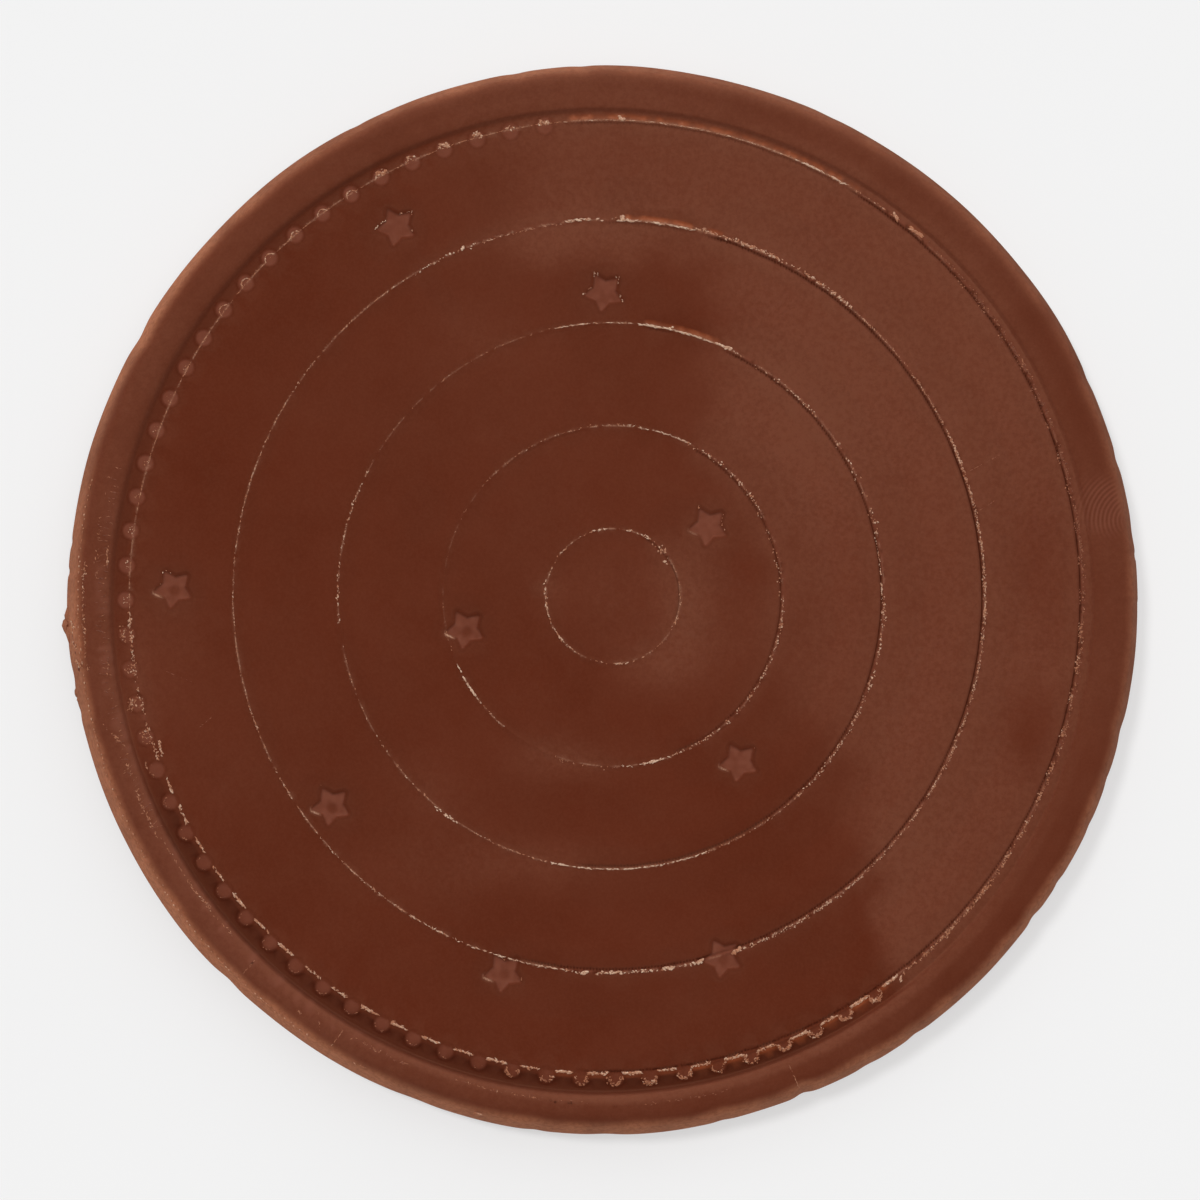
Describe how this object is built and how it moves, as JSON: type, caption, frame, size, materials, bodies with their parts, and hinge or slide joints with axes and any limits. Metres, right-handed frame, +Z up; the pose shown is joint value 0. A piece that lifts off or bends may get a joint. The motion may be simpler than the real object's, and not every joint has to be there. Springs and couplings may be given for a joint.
{
  "type": "chocolate coin",
  "caption": "Large round moulded chocolate coin, unwrapped, with a raised rim, a circle of small round beads, thin concentric rings and small stars sunk into its face.",
  "frame": {"origin": "middle of the coin's box, at the plane that the underside's rim rests on", "axes": "+Z up through the coin's two faces, out of the face with the stars; +Y to the top of the picture and +X to its right"},
  "size_m": [0.1006, 0.1, 0.0064],
  "materials": {
    "milk_chocolate": null
  },
  "bodies": {
    "root": {"chocolate_coin": "milk_chocolate"}
  },
  "joints": []
}
